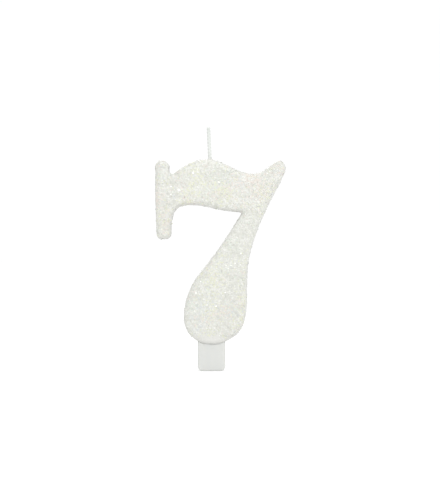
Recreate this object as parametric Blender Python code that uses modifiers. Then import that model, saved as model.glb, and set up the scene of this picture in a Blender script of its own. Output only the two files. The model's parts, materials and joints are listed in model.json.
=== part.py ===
"""Glitter number birthday candle, the figure 7.

Metres, +Z up. The origin is the centre of the foot's flat end, X runs across the figure and
Y through its depth. The figure's front faces -Y.
"""

import math

import bmesh
import bpy
from mathutils import Vector

MM = 0.001

# Driving dimensions
FIGURE_DEPTH = 10.0 * MM        # front face to back face of the coated figure
EDGE_ROUND = 1.8 * MM           # rounding between the faces and the side of the figure
COAT = 0.3 * MM                 # thickness of the glitter lacquer
GAP = 0.3 * MM                  # clearance between touching pieces
WELD = 0.01 * MM                # distance at which a curve's caps join its sides

WICK_RADIUS = 0.65 * MM
WICK_ROOT = Vector((-0.55 * MM, 0.0, 81.0 * MM))    # where the free wick bends
WICK_END = Vector((-1.15 * MM, 0.0, 92.0 * MM))
CHANNEL_RADIUS = WICK_RADIUS + GAP
MOUTH_HEIGHT = 6.0 * MM         # length of the round cut through which the wick leaves

PEG_WIDTH = 10.4 * MM
PEG_DEPTH = 7.0 * MM
PEG_TOP = 12.6 * MM             # the shoulder, inside the figure's round end
PEG_CORNER = 1.8 * MM           # rounding of the foot's corners, seen from the front
PEG_EDGE = 0.35 * MM            # rounding of every other edge of the peg
TANG_WIDTH = 5.0 * MM           # the tang stands on the shoulder, deep in the wax
TANG_DEPTH = 3.4 * MM
TANG_TOP = 22.0 * MM
TANG_CORNER = 0.6 * MM          # rounding of the tang's upright edges

# Facets
OUTLINE_STEPS = 3               # points along each stretch between two outline anchors
EDGE_STEPS = 2                  # facets along the edge rounding, beyond its two ends
ROUTE_STEPS = 3                 # points along each stretch of the wick's route
TUBE_STEPS = 2                  # facets in each quarter of the wick, beyond its two ends
TIP_SIDES = 12                  # facets around the free wick
CORNER_STEPS = 5                # facets along the rounding of the foot's corners

# The figure's outline seen from the front, in millimetres, clockwise from the top of the
# downstroke at the left end of the arm: (x, z) of each anchor.
OUTLINE = [
    (-21.3, 71.5),
    (-21.2, 74.6),
    (-21.3, 77.5),
    (-20.3, 79.1),
    (-19.6, 79.5),
    (-18.8, 79.5),
    (-17.4, 79.2),
    (-16.3, 78.2),
    (-15.9, 77.2),
    (-16.0, 76.1),
    (-15.7, 75.0),
    (-14.8, 74.5),
    (-13.0, 75.7),
    (-10.6, 77.3),
    (-6.5, 79.2),
    (-1.8, 80.0),
    (2.2, 79.3),
    (5.9, 77.8),
    (10.9, 75.4),
    (13.3, 74.8),
    (15.8, 74.6),
    (18.8, 75.4),
    (21.2, 76.8),
    (23.4, 78.6),
    (25.6, 79.5),
    (27.2, 78.5),
    (28.0, 77.2),
    (28.0, 75.7),
    (26.9, 73.2),
    (24.9, 69.0),
    (22.2, 64.0),
    (19.6, 58.5),
    (17.2, 52.7),
    (14.1, 41.8),
    (13.4, 31.0),
    (13.2, 22.8),
    (11.0, 15.5),
    (5.9, 11.4),
    (0.2, 10.0),
    (-6.0, 11.7),
    (-10.0, 16.8),
    (-10.3, 23.0),
    (-7.4, 32.4),
    (-0.4, 42.1),
    (4.3, 48.5),
    (8.2, 54.6),
    (11.5, 59.9),
    (6.6, 60.4),
    (2.8, 61.0),
    (-1.1, 61.9),
    (-7.2, 62.7),
    (-12.1, 62.0),
    (-13.7, 60.7),
    (-14.6, 58.6),
    (-15.2, 55.8),
    (-15.2, 53.0),
    (-15.4, 51.2),
    (-16.1, 50.2),
    (-17.5, 49.8),
    (-18.9, 49.8),
    (-20.2, 50.3),
    (-20.8, 52.0),
    (-20.9, 55.4),
    (-21.1, 60.0),
    (-21.3, 65.8),
]
CORNER = (11.5, 59.9)           # where the arm's underside meets the stem in a sharp corner

# The wick's way through the wax, in millimetres: down into the arm, along it, and down the
# middle of the stem to the peg.
WICK_ROUTE = [
    (-0.55, 80.0),
    (-0.2, 75.5),
    (2.4, 71.2),
    (8.0, 68.6),
    (14.0, 66.0),
    (15.4, 61.0),
    (13.2, 54.5),
    (9.0, 46.5),
    (5.0, 38.0),
    (2.4, 30.0),
    (1.4, 24.0),
]


def clear_scene():
    """Remove everything the file opened with."""
    for item in list(bpy.data.objects):
        bpy.data.objects.remove(item, do_unlink=True)


def new_collection(name):
    """A collection linked to the scene."""
    collection = bpy.data.collections.new(name)
    bpy.context.scene.collection.children.link(collection)
    return collection


def material(name, color, roughness, transmission=0.0):
    """A Principled material with the piece's colour and finish."""
    made = bpy.data.materials.new(name)
    made.use_nodes = True
    shader = made.node_tree.nodes["Principled BSDF"]
    shader.inputs["Base Color"].default_value = (*color, 1.0)
    shader.inputs["Roughness"].default_value = roughness
    shader.inputs["Metallic"].default_value = 0.0
    shader.inputs["Transmission Weight"].default_value = transmission
    made.diffuse_color = (*color, 1.0)
    return made


def curve_object(name, points, collection, cyclic, steps, corner=None):
    """A smooth Bezier curve through points in X and Z, with a sharp turn at corner."""
    data = bpy.data.curves.new(name, "CURVE")
    data.resolution_u = steps
    spline = data.splines.new("BEZIER")
    spline.bezier_points.add(len(points) - 1)
    for anchor, (x, z) in zip(spline.bezier_points, points):
        anchor.co = (x * MM, z * MM, 0.0)
        handle = "VECTOR" if (x, z) == corner else "AUTO"
        anchor.handle_left_type = handle
        anchor.handle_right_type = handle
    spline.use_cyclic_u = cyclic
    made = bpy.data.objects.new(name, data)
    made.rotation_euler = (math.radians(90.0), 0.0, 0.0)    # local XY stands up as X and Z
    collection.objects.link(made)
    return made


def as_mesh(item):
    """Turn a curve object into a welded mesh object of the same name and place."""
    bpy.context.view_layer.update()
    name = item.name
    evaluated = item.evaluated_get(bpy.context.evaluated_depsgraph_get())
    data = bpy.data.meshes.new_from_object(evaluated)
    shell = bmesh.new()
    shell.from_mesh(data)
    bmesh.ops.remove_doubles(shell, verts=shell.verts, dist=WELD)
    bmesh.ops.recalc_face_normals(shell, faces=shell.faces)
    shell.to_mesh(data)
    shell.free()
    placed = item.matrix_world.copy()
    collection = item.users_collection[0]
    bpy.data.objects.remove(item, do_unlink=True)
    made = bpy.data.objects.new(name, data)
    made.matrix_world = placed
    collection.objects.link(made)
    return made


def mesh_object(name, shell, collection):
    """An object that holds the finished bmesh."""
    data = bpy.data.meshes.new(name)
    shell.to_mesh(data)
    shell.free()
    made = bpy.data.objects.new(name, data)
    collection.objects.link(made)
    return made


def figure_solid(name, inset, collection):
    """The figure as a solid with rounded edges, pulled in by inset on every side."""
    figure = curve_object(name, OUTLINE, collection, True, OUTLINE_STEPS, CORNER)
    figure.data.dimensions = "2D"
    figure.data.fill_mode = "BOTH"
    figure.data.extrude = FIGURE_DEPTH / 2 - EDGE_ROUND
    figure.data.bevel_depth = EDGE_ROUND - inset
    figure.data.bevel_resolution = EDGE_STEPS
    figure.data.offset = -EDGE_ROUND
    return as_mesh(figure)


def wick_tube(name, radius, collection):
    """A tube of the given radius along the wick's route."""
    tube = curve_object(name, WICK_ROUTE, collection, False, ROUTE_STEPS)
    tube.data.dimensions = "3D"
    tube.data.bevel_depth = radius
    tube.data.bevel_resolution = TUBE_STEPS
    tube.data.use_fill_caps = True
    return as_mesh(tube)


def box_shell(width, depth, low, high):
    """A bmesh box on the Z axis, from one height to another."""
    shell = bmesh.new()
    bmesh.ops.create_cube(shell, size=1.0)
    bmesh.ops.scale(shell, vec=(width, depth, high - low), verts=shell.verts)
    bmesh.ops.translate(shell, vec=(0.0, 0.0, (low + high) / 2), verts=shell.verts)
    return shell


def round_edges(shell, edges, radius, steps):
    """Round the given edges of a bmesh."""
    bmesh.ops.bevel(
        shell, geom=edges, offset=radius, segments=steps, profile=0.5, affect="EDGES"
    )


def upright_edges(shell):
    """The edges of a box that run along Z."""
    return [edge for edge in shell.edges if abs(edge.verts[0].co.z - edge.verts[1].co.z) > GAP]


def post(name, width, depth, low, high, radius, collection):
    """A box on the Z axis whose four upright edges are rounded."""
    shell = box_shell(width, depth, low, high)
    round_edges(shell, upright_edges(shell), radius, 3)
    return mesh_object(name, shell, collection)


def cut(target, cutter, operation="DIFFERENCE"):
    """Cut the cutter from the target, or join it on."""
    tool = target.modifiers.new(cutter.name, "BOOLEAN")
    tool.operation = operation
    tool.solver = "EXACT"
    tool.object = cutter
    cutter.hide_render = True
    cutter.display_type = "WIRE"


def smooth(item, angle):
    """Shade a round piece smooth, keeping edges sharper than angle in degrees."""
    item.data.shade_smooth()
    item.data.set_sharp_from_angle(angle=math.radians(angle))


def mouth_cutter(collection):
    """The round hole that the wick leaves through."""
    shell = bmesh.new()
    bmesh.ops.create_cone(
        shell, cap_ends=True, segments=16, radius1=CHANNEL_RADIUS, radius2=CHANNEL_RADIUS,
        depth=MOUTH_HEIGHT,
    )
    made = mesh_object("mouth_cutter", shell, collection)
    wick_x, wick_top = WICK_ROUTE[0]
    made.location = (wick_x * MM, 0.0, wick_top * MM)
    return made


def wax_body(parts, cutters):
    """The moulded paraffin figure, with the wick's channel and the peg's pocket and socket."""
    wax = figure_solid("wax_body", COAT + GAP, parts)
    for cutter in cutters:
        cut(wax, cutter)
    wax.data.materials.append(material("wax", (0.86, 0.86, 0.80), 0.45))
    smooth(wax, 40.0)


def glitter_coat(parts, hollow, openings):
    """The glitter lacquer skin, open where the wick and the peg come out."""
    coat = figure_solid("glitter_coat", 0.0, parts)
    cut(coat, hollow)
    for opening in openings:
        cut(coat, opening)
    coat.data.materials.append(material("glitter", (0.84, 0.84, 0.78), 0.3))
    smooth(coat, 40.0)


def foot_peg(parts, cutters):
    """The translucent peg: a flat foot below, a shoulder in the figure's end and a tang above."""
    shell = box_shell(PEG_WIDTH, PEG_DEPTH, 0.0, PEG_TOP)
    foot_corners = [
        edge for edge in shell.edges
        if all(vertex.co.z < GAP for vertex in edge.verts)
        and abs(edge.verts[0].co.x - edge.verts[1].co.x) < GAP
    ]
    round_edges(shell, foot_corners, PEG_CORNER, CORNER_STEPS)
    peg = mesh_object("foot_peg", shell, parts)
    edges = peg.modifiers.new("soft_edges", "BEVEL")
    edges.width = PEG_EDGE
    edges.segments = 2
    edges.limit_method = "ANGLE"
    edges.angle_limit = math.radians(60.0)
    tang = post(
        "tang_part", TANG_WIDTH, TANG_DEPTH, PEG_TOP - GAP, TANG_TOP, TANG_CORNER, cutters
    )
    cut(peg, tang, "UNION")
    peg.data.materials.append(material("peg", (0.80, 0.81, 0.80), 0.25, 0.3))
    smooth(peg, 40.0)


def wick_core(parts, cotton):
    """The held length of the wick, along the figure's stroke."""
    core = wick_tube("wick_core", WICK_RADIUS, parts)
    core.data.materials.append(cotton)
    smooth(core, 50.0)


def wick_tip(parts, cotton):
    """The free end of the wick, round at its root so that it can bend over, cut square on top."""
    length = (WICK_END - WICK_ROOT).length
    quarter = [math.radians(90.0) * step / 4 for step in range(5)]
    profile = [(0.0, length)]
    profile.append((WICK_RADIUS, length))
    profile += [(WICK_RADIUS * math.cos(turn), -WICK_RADIUS * math.sin(turn)) for turn in quarter]
    shell = bmesh.new()
    points = [shell.verts.new((radius, 0.0, height)) for radius, height in profile]
    points[-1].co.x = 0.0
    for start, end in zip(points, points[1:]):
        shell.edges.new((start, end))
    tip = mesh_object("wick_tip", shell, parts)
    turned = tip.modifiers.new("turned", "SCREW")
    turned.steps = TIP_SIDES
    turned.render_steps = TIP_SIDES
    turned.use_merge_vertices = True
    turned.merge_threshold = WELD
    tip.location = WICK_ROOT
    tip.rotation_mode = "QUATERNION"
    tip.rotation_quaternion = Vector((0.0, 0.0, 1.0)).rotation_difference(WICK_END - WICK_ROOT)
    tip.data.materials.append(cotton)
    smooth(tip, 50.0)


def build():
    """Make the candle."""
    clear_scene()
    parts = new_collection("number_birthday_candle")
    cutters = new_collection("cutters")

    channel = wick_tube("channel_cutter", CHANNEL_RADIUS, cutters)
    mouth = mouth_cutter(cutters)
    hollow = figure_solid("hollow_cutter", COAT, cutters)
    pocket = post(
        "pocket_cutter", PEG_WIDTH + 2 * GAP, PEG_DEPTH + 2 * GAP,
        -GAP, PEG_TOP + GAP, PEG_EDGE + GAP, cutters,
    )
    socket = post(
        "socket_cutter", TANG_WIDTH + 2 * GAP, TANG_DEPTH + 2 * GAP,
        PEG_TOP, TANG_TOP + GAP, TANG_CORNER + GAP, cutters,
    )

    wax_body(parts, [mouth, channel, pocket, socket])
    glitter_coat(parts, hollow, [mouth, pocket])
    foot_peg(parts, cutters)
    cotton = material("cotton", (0.83, 0.85, 0.82), 0.9)
    wick_core(parts, cotton)
    wick_tip(parts, cotton)


build()
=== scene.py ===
"""Looks of the glitter number candle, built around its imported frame.

Metres, +Z up, in the CAD's frame: the origin is the centre of the foot's flat end and the
figure's front faces -Y.
"""

import json
import math
from typing import NamedTuple

import bmesh
import bpy
import numpy as np
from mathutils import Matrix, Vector


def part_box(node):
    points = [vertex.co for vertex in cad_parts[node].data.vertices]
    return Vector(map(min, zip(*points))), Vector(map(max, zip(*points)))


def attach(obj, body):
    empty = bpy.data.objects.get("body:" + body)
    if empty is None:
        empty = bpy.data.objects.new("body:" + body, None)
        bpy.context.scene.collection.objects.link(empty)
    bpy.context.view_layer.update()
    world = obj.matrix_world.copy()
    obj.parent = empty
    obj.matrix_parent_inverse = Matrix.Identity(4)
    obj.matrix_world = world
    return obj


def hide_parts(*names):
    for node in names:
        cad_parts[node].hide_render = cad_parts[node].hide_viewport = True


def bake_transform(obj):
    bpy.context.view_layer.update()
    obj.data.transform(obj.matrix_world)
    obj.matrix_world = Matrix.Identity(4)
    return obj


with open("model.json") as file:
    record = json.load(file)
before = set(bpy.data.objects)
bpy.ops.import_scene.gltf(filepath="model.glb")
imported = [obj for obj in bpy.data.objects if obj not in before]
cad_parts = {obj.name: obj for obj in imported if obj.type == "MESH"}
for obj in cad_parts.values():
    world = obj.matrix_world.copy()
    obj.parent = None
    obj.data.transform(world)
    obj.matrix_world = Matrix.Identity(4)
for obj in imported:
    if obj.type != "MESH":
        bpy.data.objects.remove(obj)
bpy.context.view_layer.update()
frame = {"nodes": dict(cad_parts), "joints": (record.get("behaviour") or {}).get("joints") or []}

MM = 0.001
CANDLE = "candle"
WICK = "wick"

# Sizes that the frame gives
COAT_LOW, COAT_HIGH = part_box("glitter_coat")
PEG_LOW, PEG_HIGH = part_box("foot_peg")
TIP_LOW, TIP_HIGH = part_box("wick_tip")
HALF_DEPTH = COAT_HIGH.y
WICK_RADIUS = TIP_HIGH.y
WICK_PIVOT = Vector(frame["joints"][0]["pos_m"])

# Meshes
WELD = 0.001 * MM               # distance at which meeting points are joined
TINY = 1e-12                    # stands in for the area of a face that has none
SOFT_ANGLE = math.radians(50.0)     # edges sharper than this stay sharp
BLOCK_STEPS = 3                 # facets along the rounded edge of a block
PLATE_STEPS = 5                 # facets along the rounded edge of a plate, beyond its two ends
TURN_STEPS = 32                 # facets around a turned solid

# The coated figure
EDGE_ROUND = 1.8 * MM           # rounding between the faces and the side
COAT = 0.3 * MM                 # thickness of the lacquer skin
SECTION_Y = PEG_HIGH.y + 0.45 * MM      # a section that clears the peg's pocket
SECTION_WELD = 0.01 * MM        # joins the section's shortest edges
OUTLINE_STEP = 0.35 * MM        # spacing of the outline's points
COAT_VOXEL = 0.32 * MM          # cell of the coat's even mesh
COAT_RELAX = 6                  # rounds that even out the coat's cells
COAT_ANGLE = math.radians(60.0)     # as SOFT_ANGLE, for the gritty coat
SWELLS = (11.0 * MM, 7.0 * MM, 4.5 * MM)    # waves of the hand-dipped surface
WAVE = 0.05 * MM                # how far the hand-dipped surface swells and sinks
GRIT = 0.025 * MM               # height of the grit that lies under the flakes
SNUG = 0.06 * MM                # gap between the skin and what comes out of it
OPENING_ROUND = 0.3 * MM        # rounding of the peg's opening
OPENING_REACH = 1.0 * MM        # how far the peg's opening is cut below the foot's end
PEG_SHOULDER = 12.6 * MM        # top of the peg's wide part, inside the wax
WICK_GRIP = 0.72 * MM           # radius of the skin's opening round the wick
# The lacquer that crept up the wick: (radius, height above the arm's top)
COLLAR = [
    (0.0, -0.45 * MM), (1.4 * MM, -0.45 * MM), (1.22 * MM, -0.24 * MM), (1.06 * MM, -0.06 * MM),
    (0.94 * MM, 0.08 * MM), (0.85 * MM, 0.20 * MM), (0.77 * MM, 0.27 * MM), (0.0, 0.27 * MM),
]
OPENING_LOW, OPENING_HIGH = -2.0 * MM, 1.5 * MM     # span of the wick's opening, from the arm's top
WICK_OPENING = [
    (0.0, OPENING_LOW), (WICK_GRIP, OPENING_LOW), (WICK_GRIP, OPENING_HIGH), (0.0, OPENING_HIGH),
]

# Glitter flakes
FLAKE_SIDES = 6
FLAKE_RADIUS = (0.22 * MM, 0.37 * MM)
FLAKE_COUNTS = {"front": 19000, "back": 19000, "edge": 2600}
BARE_FOOT = (12.4 * MM, 14.2 * MM)      # height where the glitter starts, and where it is full
SQUARE_ON = (0.66, 0.86)        # how squarely a face looks forward where cover starts and is full
SIDE_COVER = 0.12               # flakes on the smooth sides, as a share of the faces' cover
FACE_SPLIT = 0.6                # how squarely a face looks forward or back to count as one
FLAKE_TILT = math.radians(8.0)
PROUD_SHARE = 0.05              # flakes that stuck on edge and stand proud of the rest
PROUD_TILT = math.radians(26.0)
STEEPEST = math.radians(50.0)   # no flake tilts more than this
FLAKE_DEPTH = 0.35              # depth of a flat flake's blunt point, in radii
TILT_LIFT = 0.4                 # how far a tilted flake rises, as a share of its rim's rise
PILE = 0.04 * MM                # how far flakes ride up on their neighbours
CUT_REACH = 2.0 * MM            # how far from the wick's root its cuts reach in the coat

# The plaited wick
STRANDS = 3
STRAND_RADIUS = 0.47 * MM
YARNS = 5                       # in each strand
YARN_RADIUS = 0.16 * MM
YARN_SIDES = 8
PLAIT_PITCH = 3.8 * MM          # length in which a strand crosses over and back
YARN_PITCH = 2.4 * MM           # length in which a yarn turns once round its strand
PLAIT_ROWS = 150                # rings along each yarn
PLAIT_PROUD = 0.08 * MM         # how far the plait's crowns stand out of the mean wick
PLAIT_FLAT = 0.6                # depth of the plait, as a share of its width
CUT_RAGGED = 0.12 * MM          # how unevenly the yarns are cut off
WICK_VOXEL = 0.06 * MM          # cell of the wick's even mesh
WICK_RELAX = 14                 # rounds in which the wax softens the yarns
WICK_SUNK = 1.5 * MM            # how far the free wick reaches down into the arm
TIP_SHORT = 0.05 * MM           # the yarns end this far under the cut fibres

# Loose fibres at the cut end
FIBRES = 16
FIBRE_RADIUS = 0.018 * MM
FIBRE_SIDES = 5
FIBRE_ROWS = 6                  # rings along each fibre
FIBRE_SPREAD = (0.2 * MM, 0.5 * MM)     # how far from the wick's middle the fibres start
FIBRE_SUNK = 0.35 * MM          # how far under the cut they start
FIBRE_RISE = (0.35 * MM, 0.75 * MM)
FIBRE_FLARE = (0.0, 0.3 * MM)   # how far their ends lean out

# The peg
PEG_CORNER = 1.8 * MM           # rounding of the foot's two lower corners
PEG_EDGE = 0.8 * MM
TANG_WIDTH = 5.0 * MM           # the narrow tang that holds the peg in the wax
TANG_DEPTH = 3.4 * MM
TANG_ROUND = 0.5 * MM
TANG_SUNK = 1.0 * MM            # how far the tang reaches down into the peg's wide part
CORNER_STEPS = 12               # facets along the rounding of a lower corner
SEAM_PROUD = 0.04 * MM          # the mould's parting line round the middle of the sides
SEAM_HALF = 0.08 * MM

# The studio, whose lamps all face the middle of the figure
FLOOR_RADIUS = 6.0
FLOOR_SIDES = 96
FLOOR_DROP = 0.05 * MM          # keeps the floor clear of the foot
FLOOR_GLOW = 0.52
SKY_STRENGTH = 1.02
CAMERA_DISTANCE = 0.70
CAMERA_ACROSS, CAMERA_HEIGHT = 3.2 * MM, 45.7 * MM
VIEW_HEIGHT = 188.6 * MM        # what the frame's long side takes in at the figure
SENSOR = 36.0
LAMPS = [
    # name, place, size, power
    ("key", (0.13, -0.56, 0.36), 0.46, 1.95),
    ("top", (0.0, -0.02, 0.60), 0.30, 0.32),
    ("back", (-0.20, 0.60, 0.45), 0.40, 0.9),
]

CANDLE_SHARE = 0.715            # how much of the studio's light the whites give back

# Seeds
SWELL_SEED = 7
GRIT_SEED = 8
GRAIN_SEED = 7
WICK_SEED = 12
FIBRE_SEED = 13
FLAKE_SEEDS = {"front": 17, "back": 18, "edge": 19}


def srgb(red, green, blue, share=1.0):
    """A linear colour, with full alpha, from three 0-255 display values, dimmed to share."""
    channels = [value / 255.0 for value in (red, green, blue)]
    linear = [
        value / 12.92 if value <= 0.04045 else ((value + 0.055) / 1.055) ** 2.4
        for value in channels
    ]
    return (*(value * share for value in linear), 1.0)


def white(red, green, blue):
    """A white of the candle: as it shows on paper, less what the bright studio adds."""
    return srgb(red, green, blue, CANDLE_SHARE)


# ---------------------------------------------------------------- materials


class Nodes:
    """A short way to write a material's node tree."""

    def __init__(self, name, shown):
        self.material = bpy.data.materials.new(name)
        self.material.use_nodes = True
        self.material.diffuse_color = shown
        self.tree = self.material.node_tree
        self.shader = self.tree.nodes["Principled BSDF"]

    def add(self, kind, **settings):
        """Adds a node; settings are its properties."""
        node = self.tree.nodes.new(kind)
        for key, value in settings.items():
            setattr(node, key, value)
        return node

    def link(self, start, end):
        """Links an output socket to an input socket."""
        self.tree.links.new(start, end)

    def set(self, **values):
        """Sets the shader's own sockets; an underscore in a name stands for a space."""
        for key, value in values.items():
            self.shader.inputs[key.replace("_", " ")].default_value = value

    def place(self):
        """The surface's own coordinates, in metres."""
        return self.add("ShaderNodeTexCoord").outputs["Object"]

    def noise(self, place, size, detail=3.0, rough=0.5):
        """A noise texture whose waves are about size long."""
        node = self.add("ShaderNodeTexNoise")
        node.inputs["Scale"].default_value = 1.0 / size
        node.inputs["Detail"].default_value = detail
        node.inputs["Roughness"].default_value = rough
        self.link(place, node.inputs["Vector"])
        return node.outputs["Fac"]

    def cells(self, place, size):
        """A Voronoi texture whose cells are about size across."""
        node = self.add("ShaderNodeTexVoronoi")
        node.inputs["Scale"].default_value = 1.0 / size
        self.link(place, node.inputs["Vector"])
        return node

    def ramp(self, value, *stops):
        """A colour ramp through (position, colour) stops."""
        node = self.add("ShaderNodeValToRGB")
        while len(node.color_ramp.elements) < len(stops):
            node.color_ramp.elements.new(1.0)
        for element, (position, color) in zip(node.color_ramp.elements, stops):
            element.position = position
            element.color = color
        self.link(value, node.inputs["Fac"])
        return node.outputs["Color"]

    def stretched(self, place, upright):
        """The place with its height scaled by upright, so that textures run along Z."""
        node = self.add("ShaderNodeMapping")
        node.inputs["Scale"].default_value = (1.0, 1.0, upright)
        self.link(place, node.inputs["Vector"])
        return node.outputs["Vector"]

    def mix(self, share, first, second):
        """A mix of two colours; share and each colour are a value or a socket."""
        node = self.add("ShaderNodeMix", data_type="RGBA")
        for socket, value in ((0, share), (6, first), (7, second)):
            if isinstance(value, bpy.types.NodeSocket):
                self.link(value, node.inputs[socket])
            else:
                node.inputs[socket].default_value = value
        return node.outputs[2]

    def map(self, value, low, high, start=0.0, end=1.0):
        """Moves a value from the span start to end into the span low to high."""
        node = self.add("ShaderNodeMapRange")
        node.inputs["From Min"].default_value = start
        node.inputs["From Max"].default_value = end
        node.inputs["To Min"].default_value = low
        node.inputs["To Max"].default_value = high
        self.link(value, node.inputs["Value"])
        return node.outputs["Result"]

    def bump(self, height, distance, strength=1.0):
        """A bump from a height socket, on the shader's normal."""
        node = self.add("ShaderNodeBump")
        node.inputs["Strength"].default_value = strength
        node.inputs["Distance"].default_value = distance
        self.link(height, node.inputs["Height"])
        last = self.shader.inputs["Normal"]
        if last.is_linked:
            self.link(last.links[0].from_socket, node.inputs["Normal"])
        self.link(node.outputs["Normal"], last)


def lacquer_material():
    """Pale lacquer full of fine glitter dust, between the flakes."""
    made = Nodes("glitter_lacquer", white(232, 233, 224))
    made.set(Roughness=0.4, Coat_Weight=0.35, Coat_Roughness=0.12, IOR=1.5)
    place = made.place()
    dust = made.cells(place, 0.42 * MM)
    speck = made.add("ShaderNodeSeparateColor")
    made.link(dust.outputs["Color"], speck.inputs["Color"])
    grain = made.ramp(
        speck.outputs["Red"],
        (0.0, white(222, 222, 216)),
        (0.45, white(229, 229, 223)),
        (0.8, white(234, 234, 228)),
        (1.0, white(241, 241, 236)),
    )
    tint = made.ramp(
        made.noise(place, 5.0 * MM, detail=4.0, rough=0.6),
        (0.30, white(234, 229, 227)),
        (0.42, white(231, 231, 226)),
        (0.55, white(230, 230, 225)),
        (0.66, white(232, 232, 221)),
        (0.78, white(226, 231, 227)),
    )
    made.link(made.mix(0.5, grain, tint), made.shader.inputs["Base Color"])
    made.link(made.map(speck.outputs["Green"], 0.25, 0.55), made.shader.inputs["Roughness"])
    made.bump(speck.outputs["Blue"], 0.03 * MM, 0.6)
    made.bump(made.noise(place, 0.8 * MM), 0.05 * MM, 0.5)
    return made.material


class Tint(NamedTuple):
    """One kind of flake, and where it gathers."""

    name: str
    color: tuple
    share: float        # of all the flakes, before its waves shift the odds
    roughness: float
    metallic: float
    lengths: tuple      # of the waves that its share follows
    strength: float     # how strongly its share follows them
    seed: int


GRAIN = (2.6 * MM, 1.9 * MM, 1.4 * MM)      # waves of the light and dark flakes' grain
DRIFT = (23.0 * MM, 15.0 * MM, 9.0 * MM)    # waves of the coloured flakes' drifts
# Milk and shade share a seed, so one gathers where the other thins out. The seeds of straw,
# blush and mint were picked for where they put their patches.
FLAKE_TINTS = [
    Tint("pearl", white(234, 235, 226), 0.36, 0.45, 0.0, GRAIN, 0.0, GRAIN_SEED),
    Tint("milk", white(242, 243, 237), 0.18, 0.42, 0.0, GRAIN, 5.0, GRAIN_SEED),
    Tint("shade", white(224, 225, 217), 0.18, 0.45, 0.0, GRAIN, -5.0, GRAIN_SEED),
    Tint("straw", white(236, 238, 214), 0.13, 0.42, 0.0, DRIFT, 5.0, 2585),
    Tint("blush", white(239, 230, 222), 0.05, 0.42, 0.0, DRIFT, 6.0, 844),
    Tint("mint", white(228, 235, 224), 0.04, 0.42, 0.0, DRIFT, 5.0, 4057),
    Tint("sky", white(228, 232, 231), 0.04, 0.42, 0.0, DRIFT, 5.0, 13),
    Tint("silver", srgb(236, 238, 232), 0.005, 0.36, 1.0, DRIFT, 0.0, GRAIN_SEED),
]


def flake_materials():
    """One pearly film for each tint of the flakes."""
    films = []
    for tint in FLAKE_TINTS:
        film = Nodes("flake_" + tint.name, tint.color)
        film.set(
            Base_Color=tint.color, Roughness=tint.roughness, Metallic=tint.metallic, IOR=1.5,
            Coat_Weight=0.08, Coat_Roughness=0.22,
        )
        films.append(film.material)
    return films


def wax_material():
    """White paraffin: soft, slightly mottled and a little see-through."""
    made = Nodes("white_wax", white(238, 238, 230))
    made.set(Roughness=0.45, Subsurface_Weight=0.3, Subsurface_Scale=0.002, IOR=1.43)
    place = made.place()
    cloud = made.noise(place, 4.0 * MM, detail=4.0)
    made.link(
        made.ramp(cloud, (0.3, white(230, 230, 221)), (0.7, white(243, 243, 236))),
        made.shader.inputs["Base Color"],
    )
    made.bump(made.noise(place, 1.0 * MM), 0.03 * MM, 0.4)
    return made.material


def peg_material():
    """The peg's milky translucent plastic, with faint flow marks along it."""
    made = Nodes("milky_peg", white(232, 232, 230))
    made.set(
        Roughness=0.32, IOR=1.5, Subsurface_Weight=0.35, Subsurface_Scale=0.0012,
        Coat_Weight=0.1, Coat_Roughness=0.2,
    )
    made.shader.inputs["Subsurface Radius"].default_value = (1.0, 1.0, 0.9)
    place = made.place()
    flow = made.noise(made.stretched(place, 0.15), 2.2 * MM)
    made.link(
        made.ramp(flow, (0.3, white(226, 228, 225)), (0.7, white(229, 230, 226))),
        made.shader.inputs["Base Color"],
    )
    made.link(made.map(flow, 0.30, 0.38), made.shader.inputs["Roughness"])
    made.bump(made.noise(place, 0.5 * MM), 0.01 * MM, 0.3)
    return made.material


def cotton_material():
    """Waxed cotton yarn: fine fibres twisted along it, off-white with a hint of green."""
    made = Nodes("waxed_cotton", white(228, 232, 227))
    made.set(Roughness=0.6, IOR=1.45, Sheen_Weight=0.25, Sheen_Roughness=0.4)
    place = made.place()
    fibre = made.noise(made.stretched(place, 0.25), 0.06 * MM, detail=2.0)
    yarn = made.ramp(fibre, (0.3, white(224, 229, 224)), (0.7, white(231, 235, 230)))
    height = made.add("ShaderNodeSeparateXYZ")
    made.link(place, height.inputs["Vector"])
    dry = made.map(height.outputs["Z"], 0.0, 1.0, COAT_HIGH.z + 3.0 * MM, TIP_HIGH.z)
    made.link(made.mix(dry, white(239, 242, 238), yarn), made.shader.inputs["Base Color"])
    made.link(made.map(fibre, 0.45, 0.75), made.shader.inputs["Roughness"])
    made.bump(fibre, 0.012 * MM, 0.5)
    return made.material


# ---------------------------------------------------------------- shapes


def object_from(name, data, *materials):
    """A linked object that holds the mesh or curve."""
    made = bpy.data.objects.new(name, data)
    for material in materials:
        made.data.materials.append(material)
    bpy.context.scene.collection.objects.link(made)
    return made


def object_of(name, shell, *materials):
    """A linked object that holds the finished bmesh."""
    mesh = bpy.data.meshes.new(name)
    shell.to_mesh(mesh)
    shell.free()
    return object_from(name, mesh, *materials)


def dress(item, material):
    """Gives the whole mesh one material."""
    item.data.materials.clear()
    item.data.materials.append(material)


def shade(item, angle=math.pi):
    """Shades the mesh smooth, but for edges sharper than angle."""
    item.data.shade_smooth()
    if angle < math.pi:
        item.data.set_sharp_from_angle(angle=angle)


def applied(item):
    """The object with its modifiers applied."""
    bpy.context.view_layer.update()
    evaluated = item.evaluated_get(bpy.context.evaluated_depsgraph_get())
    data = bpy.data.meshes.new_from_object(evaluated)
    item.modifiers.clear()
    old = item.data
    item.data = data
    bpy.data.meshes.remove(old)
    return item


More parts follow.
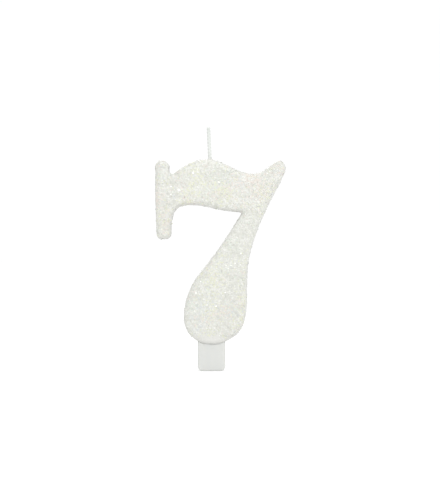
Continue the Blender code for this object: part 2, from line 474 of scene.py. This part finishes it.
def loops_of(shell):
    """The closed loops of a bmesh that holds only edges, each a list of points."""
    left = set(shell.verts)
    loops = []
    for vertex in shell.verts:
        if vertex not in left:
            continue
        left.discard(vertex)
        loop = [vertex]
        ahead = vertex
        while ahead is not None:
            near = [edge.other_vert(ahead) for edge in ahead.link_edges]
            ahead = next((other for other in near if other in left), None)
            if ahead is not None:
                left.discard(ahead)
                loop.append(ahead)
        loops.append([point.co.copy() for point in loop])
    return loops


def figure_outline():
    """A section of the CAD coat as (x, z) points in order, and how far it lies inside the side."""
    shell = bmesh.new()
    shell.from_mesh(frame["nodes"]["glitter_coat"].data)
    bmesh.ops.remove_doubles(shell, verts=shell.verts, dist=WELD)
    bmesh.ops.bisect_plane(
        shell, geom=shell.verts[:] + shell.edges[:] + shell.faces[:],
        plane_co=(0.0, SECTION_Y, 0.0), plane_no=(0.0, 1.0, 0.0),
        clear_outer=True, clear_inner=True,
    )
    bmesh.ops.remove_doubles(shell, verts=shell.verts, dist=SECTION_WELD)
    loops = [np.array([(point.x, point.z) for point in loop]) for loop in loops_of(shell)]
    shell.free()
    outer = max(loops, key=lambda loop: np.ptp(loop[:, 0]))
    # The section lies on the rounded edge, so it is smaller all round than the side is.
    return smooth_loop(outer, OUTLINE_STEP), outer[:, 0].min() - COAT_LOW.x


def smooth_loop(points, spacing):
    """A closed Catmull-Rom curve through the points, sampled about every spacing."""
    before, after, beyond = (np.roll(points, shift, axis=0) for shift in (1, -1, -2))
    sampled = []
    for p0, p1, p2, p3 in zip(before, points, after, beyond):
        count = max(1, round(np.linalg.norm(p2 - p1) / spacing))
        for t in np.arange(count) / count:
            sampled.append(
                0.5 * (
                    2 * p1 + (p2 - p0) * t + (2 * p0 - 5 * p1 + 4 * p2 - p3) * t**2
                    + (3 * p1 - p0 - 3 * p2 + p3) * t**3
                )
            )
    return np.array(sampled)


def plate(name, outline, half_depth, edge, inset=0.0, beyond=0.0):
    """A closed solid with rounded edges, from an (x, z) outline.

    Its side lies beyond the outline, and then all of it is pulled in by inset.
    """
    data = bpy.data.curves.new(name, "CURVE")
    data.dimensions = "2D"
    data.fill_mode = "BOTH"
    data.extrude = half_depth - edge
    data.bevel_depth = edge - inset
    data.bevel_resolution = PLATE_STEPS
    data.offset = beyond - edge
    spline = data.splines.new("POLY")
    spline.points.add(len(outline) - 1)
    for point, (x, z) in zip(spline.points, outline):
        point.co = (x, z, 0.0, 1.0)
    spline.use_cyclic_u = True
    guide = object_from(name + "_guide", data)
    guide.rotation_euler = (math.radians(90.0), 0.0, 0.0)
    bpy.context.view_layer.update()
    evaluated = guide.evaluated_get(bpy.context.evaluated_depsgraph_get())
    mesh = bpy.data.meshes.new_from_object(evaluated)
    mesh.transform(guide.matrix_world)
    shell = bmesh.new()
    shell.from_mesh(mesh)
    bmesh.ops.remove_doubles(shell, verts=shell.verts, dist=WELD)
    bmesh.ops.recalc_face_normals(shell, faces=shell.faces)
    shell.to_mesh(mesh)
    shell.free()
    bpy.data.objects.remove(guide, do_unlink=True)
    return object_from(name, mesh)


def block(name, low, high, rounding):
    """A closed box between two corners, with its edges rounded."""
    shell = bmesh.new()
    bmesh.ops.create_cube(shell, size=1.0)
    bmesh.ops.scale(shell, vec=high - low, verts=shell.verts)
    bmesh.ops.translate(shell, vec=(high + low) / 2, verts=shell.verts)
    bmesh.ops.bevel(
        shell, geom=shell.edges, offset=rounding, segments=BLOCK_STEPS, profile=0.5,
        affect="EDGES",
    )
    return object_of(name, shell)


def turned(name, profile, x, z):
    """A closed turned solid about the upright axis at x, from (radius, height above z) points."""
    points = [Vector((radius, 0.0, height)) for radius, height in profile]
    shell = bmesh.new()
    verts = [shell.verts.new(point) for point in points]
    edges = [shell.edges.new(pair) for pair in zip(verts, verts[1:])]
    bmesh.ops.spin(
        shell, geom=verts + edges, cent=(0.0, 0.0, 0.0), axis=(0.0, 0.0, 1.0),
        angle=math.tau, steps=TURN_STEPS, use_merge=True,
    )
    bmesh.ops.remove_doubles(shell, verts=shell.verts, dist=WELD)
    bmesh.ops.translate(shell, vec=(x, 0.0, z), verts=shell.verts)
    bmesh.ops.recalc_face_normals(shell, faces=shell.faces)
    return object_of(name, shell)


def combine(item, other, operation):
    """Joins the other solid to the item, or cuts it from the item, and deletes it."""
    boolean = item.modifiers.new(operation, "BOOLEAN")
    boolean.operation = operation
    boolean.solver = "MANIFOLD"
    boolean.object = other
    applied(item)
    bpy.data.objects.remove(other, do_unlink=True)


def even_mesh(item, voxel, rounds):
    """Rebuilds a solid's surface as even small faces, then evens out their steps."""
    remesh = item.modifiers.new("even", "REMESH")
    remesh.mode = "VOXEL"
    remesh.voxel_size = voxel
    relax = item.modifiers.new("relax", "SMOOTH")
    relax.factor = 0.5
    relax.iterations = rounds
    return applied(item)


def of_vertices(mesh, what):
    """The vertices' places ("co") or normals ("normal") as an array."""
    found = np.empty(len(mesh.vertices) * 3, np.float32)
    mesh.vertices.foreach_get(what, found)
    return found.reshape(-1, 3).astype(float)


def unit(vectors):
    """Each row of the array, scaled to length 1."""
    return vectors / np.linalg.norm(vectors, axis=1)[:, None]


def waves(places, lengths, seed):
    """Smooth seeded waves over space, from -1 to 1; lengths are the waves' own."""
    random = np.random.default_rng(seed)
    total = np.zeros(len(places))
    for length in lengths:
        direction = unit(random.normal(size=(3, 3)))
        phase = random.uniform(0, math.tau, 3)
        total += np.sin(places @ direction.T * math.tau / length + phase).sum(1)
    return total / (3 * len(lengths))


def make_coat(lacquer):
    """The lacquer skin: softly waved and gritty, open round the peg and round the wick."""
    outline, beyond = figure_outline()
    coat = plate("glitter_lacquer", outline, HALF_DEPTH, EDGE_ROUND, 0.0, beyond)
    even_mesh(coat, COAT_VOXEL, COAT_RELAX)
    places = of_vertices(coat.data, "co")
    random = np.random.default_rng(GRIT_SEED)
    swell = WAVE * waves(places, SWELLS, SWELL_SEED)
    grit = GRIT * random.uniform(-1.0, 1.0, len(places))
    inward = swell + grit - WAVE        # the swells stay inside the figure's outline
    places += of_vertices(coat.data, "normal") * inward[:, None]
    coat.data.vertices.foreach_set("co", places.astype(np.float32).ravel())
    coat.data.update()
    hollow = plate("hollow", outline, HALF_DEPTH, EDGE_ROUND, COAT, beyond)
    combine(coat, hollow, "DIFFERENCE")
    reach = Vector((PEG_HIGH.x, PEG_HIGH.y, PEG_SHOULDER)) + Vector((1, 1, 1)) * SNUG
    base = Vector((-reach.x, -reach.y, -OPENING_REACH))
    combine(coat, block("peg_opening", base, reach, OPENING_ROUND), "DIFFERENCE")
    combine(coat, turned("collar", COLLAR, WICK_PIVOT.x, COAT_HIGH.z), "UNION")
    combine(coat, turned("wick_opening", WICK_OPENING, WICK_PIVOT.x, COAT_HIGH.z), "DIFFERENCE")
    dress(coat, lacquer)
    shade(coat, COAT_ANGLE)
    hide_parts("glitter_coat")
    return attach(coat, CANDLE)


def eased(values, start, end):
    """0 up to start, 1 from end, and a smooth step between them."""
    part = np.clip((values - start) / (end - start), 0.0, 1.0)
    return part * part * (3.0 - 2.0 * part)


def cover(places, normals):
    """How densely the skin is glittered: its sides stayed nearly bare, and its lower end bare."""
    faces = eased(np.abs(normals[:, 1]), *SQUARE_ON)
    return (SIDE_COVER + (1.0 - SIDE_COVER) * faces) * eased(places[:, 2], *BARE_FOOT)


def drawn_tints(places, random):
    """An index into FLAKE_TINTS for each place: grain and drifts shift the odds."""
    odds = np.stack([
        tint.share * np.exp(tint.strength * waves(places, tint.lengths, tint.seed))
        for tint in FLAKE_TINTS
    ], axis=1)
    steps = odds.cumsum(1) / odds.sum(1)[:, None]
    return (random.random(len(places))[:, None] > steps).sum(1)


def scattered(mesh, chosen, count, random):
    """Random places on the mesh's chosen faces, and the normals there."""
    mesh.calc_loop_triangles()
    corners = np.empty(len(mesh.loop_triangles) * 3, np.int32)
    mesh.loop_triangles.foreach_get("vertices", corners)
    corners = of_vertices(mesh, "co")[corners.reshape(-1, 3)]
    # The last cuts put the faces round the wick at the end of the list, in an order that differs
    # from run to run. They are sorted by place, so that the same draws pick the same places.
    middles = corners.mean(1)
    crest = np.array((WICK_PIVOT.x, 0.0, COAT_HIGH.z))
    elsewhere = np.flatnonzero(np.linalg.norm(middles - crest, axis=1) > CUT_REACH)
    last = elsewhere[-1] + 1
    corners[last:] = corners[last:][np.lexsort(middles[last:].T)]
    normals = np.cross(corners[:, 1] - corners[:, 0], corners[:, 2] - corners[:, 0])
    areas = np.linalg.norm(normals, axis=1) / 2
    normals /= np.maximum(2 * areas, TINY)[:, None]
    weights = np.where(chosen(normals), areas * cover(corners.mean(1), normals), 0.0)
    picked = random.choice(len(areas), count, p=weights / weights.sum())
    share = random.dirichlet((1.0, 1.0, 1.0), count)
    return (corners[picked] * share[:, :, None]).sum(1), normals[picked]


def flake_tilts(count, random):
    """How far each flake leans off the surface: most a little, a few a lot."""
    tilt = np.abs(random.normal(0.0, FLAKE_TILT, count))
    proud = random.random(count) < PROUD_SHARE
    tilt[proud] = np.abs(random.normal(0.0, PROUD_TILT, proud.sum()))
    return np.minimum(tilt, STEEPEST)


def flake_faces(count):
    """The faces of flakes whose rim is followed by the blunt point under it."""
    first = (np.arange(count) * (FLAKE_SIDES + 1))[:, None]
    faces = (first + np.arange(FLAKE_SIDES)).tolist()
    for corner in range(FLAKE_SIDES):
        after = (corner + 1) % FLAKE_SIDES
        faces += np.hstack([first + after, first + corner, first + FLAKE_SIDES]).tolist()
    return faces


def make_flakes(name, source, chosen, count, films, seed):
    """Scatters flakes over the chosen faces of source, each nearly flat on the surface."""
    random = np.random.default_rng(seed)
    centres, facing = scattered(source.data, chosen, count, random)
    tilt = flake_tilts(count, random)
    aside = unit(np.cross(facing, random.normal(size=(count, 3))))
    up = facing * np.cos(tilt)[:, None] + aside * np.sin(tilt)[:, None]
    across = unit(np.cross(up, random.normal(size=(count, 3))))
    along = np.cross(up, across)
    radius = random.uniform(*FLAKE_RADIUS, count)
    depth = radius * (FLAKE_DEPTH + np.sin(tilt))
    lift = radius * np.sin(tilt) * TILT_LIFT + random.uniform(0.0, PILE, count)

    turn = np.arange(FLAKE_SIDES) * math.tau / FLAKE_SIDES
    middle = centres + facing * lift[:, None]
    rim = (
        middle[:, None]
        + across[:, None] * (np.cos(turn)[None, :, None] * radius[:, None, None])
        + along[:, None] * (np.sin(turn)[None, :, None] * radius[:, None, None])
    )
    point = (middle - up * depth[:, None])[:, None]
    data = bpy.data.meshes.new(name)
    data.from_pydata(np.hstack([rim, point]).reshape(-1, 3), [], flake_faces(count))
    tints = np.tile(drawn_tints(centres, random), FLAKE_SIDES + 1)
    data.polygons.foreach_set("material_index", tints.astype(np.int32))
    data.update()
    made = object_from(name, data, *films)
    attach(made, CANDLE)


def make_glitter(coat, films):
    """The flakes on the coat's two faces and on its rims and sides."""
    places = {
        "front": lambda normal: normal[:, 1] < -FACE_SPLIT,
        "back": lambda normal: normal[:, 1] > FACE_SPLIT,
        "edge": lambda normal: np.abs(normal[:, 1]) <= FACE_SPLIT,
    }
    for side, chosen in places.items():
        make_flakes(
            "glitter_" + side, coat, chosen, FLAKE_COUNTS[side], films, FLAKE_SEEDS[side]
        )


def tube(path, radius, sides):
    """Vertices and faces of a closed tube along path, whose ends are capped."""
    ahead = unit(np.gradient(path, axis=0))
    side = unit(np.cross(ahead, (0.0, 1.0, 0.0)))
    other = np.cross(ahead, side)
    turn = np.arange(sides) * math.tau / sides
    ring = np.cos(turn)[:, None] * side[:, None] + np.sin(turn)[:, None] * other[:, None]
    points = (path[:, None] + radius * ring).reshape(-1, 3)
    faces = []
    for row in range(len(path) - 1):
        for corner in range(sides):
            after = (corner + 1) % sides
            low, high = row * sides, (row + 1) * sides
            faces.append((low + corner, low + after, high + after, high + corner))
    last = (len(path) - 1) * sides
    faces.append(tuple(range(sides))[::-1])
    faces.append(tuple(last + corner for corner in range(sides)))
    return points, faces


def joined(name, tubes, *materials):
    """One mesh object of several closed tubes."""
    points, faces, base = [], [], 0
    for some_points, some_faces in tubes:
        points.append(some_points)
        faces += [tuple(base + index for index in face) for face in some_faces]
        base += len(some_points)
    data = bpy.data.meshes.new(name)
    data.from_pydata(np.vstack(points), [], faces)
    shell = bmesh.new()
    shell.from_mesh(data)
    bmesh.ops.recalc_face_normals(shell, faces=shell.faces)
    shell.to_mesh(data)
    shell.free()
    made = object_from(name, data, *materials)
    shade(made, SOFT_ANGLE)
    return made


def plait(root, end, random):
    """The yarns of a plait from root to end, as closed tubes."""
    length = (end - root).length
    along = np.linspace(0.0, 1.0, PLAIT_ROWS)
    spine = np.array(root) + along[:, None] * np.array(end - root)
    swing = WICK_RADIUS + PLAIT_PROUD - STRAND_RADIUS
    tubes = []
    for strand in range(STRANDS):
        beat = along * length / PLAIT_PITCH * math.tau + strand * math.tau / STRANDS
        centre = spine.copy()
        centre[:, 0] += swing * np.sin(beat)
        centre[:, 1] += swing * PLAIT_FLAT * np.sin(2 * beat)
        for yarn in range(YARNS):
            twist = along * length / YARN_PITCH * math.tau + yarn * math.tau / YARNS
            path = centre.copy()
            path[:, 0] += (STRAND_RADIUS - YARN_RADIUS) * np.cos(twist)
            path[:, 1] += (STRAND_RADIUS - YARN_RADIUS) * np.sin(twist)
            path[-1, 2] += random.uniform(-CUT_RAGGED, 0.0)
            tubes.append(tube(path, YARN_RADIUS, YARN_SIDES))
    return tubes


def make_wick(cotton):
    """The free wick: a plait of twisted yarns, softened by its wax and cut square."""
    random = np.random.default_rng(WICK_SEED)
    root = Vector((WICK_PIVOT.x, 0.0, COAT_HIGH.z - WICK_SUNK))
    end = Vector((TIP_LOW.x + WICK_RADIUS, 0.0, TIP_HIGH.z - TIP_SHORT))
    wick = joined("plaited_wick", plait(root, end, random))
    even_mesh(wick, WICK_VOXEL, WICK_RELAX)
    dress(wick, cotton)
    shade(wick)
    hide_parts("wick_tip")
    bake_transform(wick)


def make_fibres(cotton):
    """Loose fibres at the wick's cut end."""
    random = np.random.default_rng(FIBRE_SEED)
    root = np.array((TIP_LOW.x + WICK_RADIUS, 0.0, TIP_HIGH.z - FIBRE_SUNK))
    bend = np.linspace(0.0, 1.0, FIBRE_ROWS)[:, None]
    hairs = []
    for _hair in range(FIBRES):
        turn = random.uniform(0.0, math.tau)
        out = np.array((math.cos(turn), math.sin(turn), 0.0))
        start = root + out * random.uniform(*FIBRE_SPREAD)
        rise = np.array((0.0, 0.0, random.uniform(*FIBRE_RISE)))
        path = start + rise * bend + out * bend**2 * random.uniform(*FIBRE_FLARE)
        hairs.append(tube(path, FIBRE_RADIUS, FIBRE_SIDES))
    fibres = joined("wick_fibres", hairs, cotton)
    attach(fibres, WICK)


def peg_outline():
    """The peg's wide part, from the front: square at the shoulder, round at the foot."""
    outline = []
    for centre_x, start in ((PEG_CORNER - PEG_HIGH.x, 180.0), (PEG_HIGH.x - PEG_CORNER, 270.0)):
        for step in range(CORNER_STEPS + 1):
            turn = math.radians(start + step * 90.0 / CORNER_STEPS)
            outline.append((
                centre_x + PEG_CORNER * math.cos(turn),
                PEG_CORNER + PEG_CORNER * math.sin(turn),
            ))
    return outline + [(PEG_HIGH.x, PEG_SHOULDER), (-PEG_HIGH.x, PEG_SHOULDER)]


def make_peg(plastic):
    """The moulded peg: rounded foot, soft edges, a fine parting line and the tang."""
    outline = peg_outline()
    peg = plate("moulded_peg", outline, PEG_HIGH.y, PEG_EDGE)
    reach = Vector((TANG_WIDTH / 2, TANG_DEPTH / 2, PEG_HIGH.z))
    base = Vector((-reach.x, -reach.y, PEG_SHOULDER - TANG_SUNK))
    combine(peg, block("tang", base, reach, TANG_ROUND), "UNION")
    seam = plate("parting_line", outline, SEAM_HALF, SEAM_PROUD, -SEAM_PROUD)
    combine(peg, seam, "UNION")
    dress(peg, plastic)
    shade(peg, SOFT_ANGLE)
    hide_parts("foot_peg")
    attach(peg, CANDLE)


# ---------------------------------------------------------------- studio


def make_stage():
    """A pale floor under a white studio sky."""
    shell = bmesh.new()
    bmesh.ops.create_circle(shell, cap_ends=True, segments=FLOOR_SIDES, radius=FLOOR_RADIUS)
    paper = Nodes("studio_paper", srgb(250, 250, 250))
    paper.set(
        Base_Color=srgb(188, 188, 188), Roughness=0.9, Specular_IOR_Level=0.0,
        Emission_Color=srgb(255, 255, 255), Emission_Strength=FLOOR_GLOW,
    )
    floor = object_of("studio_floor", shell, paper.material)
    floor.location.z = PEG_LOW.z - FLOOR_DROP
    world = bpy.data.worlds.new("studio_sky")
    world.use_nodes = True
    sky = world.node_tree.nodes["Background"]
    sky.inputs["Color"].default_value = (1.0, 1.0, 1.0, 1.0)
    sky.inputs["Strength"].default_value = SKY_STRENGTH
    bpy.context.scene.world = world


def softbox(name, place, size, power):
    """A square soft light that faces the middle of the figure."""
    middle = (COAT_LOW + COAT_HIGH) / 2
    data = bpy.data.lights.new(name, "AREA")
    data.shape = "SQUARE"
    data.size = size
    data.energy = power
    made = bpy.data.objects.new(name, data)
    made.location = place
    made.rotation_euler = (middle - Vector(place)).to_track_quat("-Z", "Y").to_euler()
    made.visible_camera = False
    bpy.context.scene.collection.objects.link(made)


def make_camera():
    """Straight in front of the figure, far enough off to show no perspective to speak of."""
    data = bpy.data.cameras.new("camera")
    data.sensor_fit = "AUTO"
    data.sensor_width = SENSOR
    data.lens = SENSOR * (CAMERA_DISTANCE - HALF_DEPTH + EDGE_ROUND) / VIEW_HEIGHT
    data.clip_start = 0.01
    camera = bpy.data.objects.new("camera", data)
    camera.location = (CAMERA_ACROSS, -CAMERA_DISTANCE, CAMERA_HEIGHT)
    camera.rotation_euler = (math.radians(90.0), 0.0, 0.0)
    bpy.context.scene.collection.objects.link(camera)
    bpy.context.scene.camera = camera


def build():
    """Makes the studio and every visible piece."""
    make_camera()
    make_stage()
    for lamp in LAMPS:
        softbox(*lamp)
    bpy.context.scene.view_settings.view_transform = "Standard"

    coat = make_coat(lacquer_material())
    make_glitter(coat, flake_materials())
    make_peg(peg_material())
    cotton = cotton_material()
    make_wick(cotton)
    make_fibres(cotton)
    dress(frame["nodes"]["wax_body"], wax_material())
    dress(frame["nodes"]["wick_core"], cotton)


build()
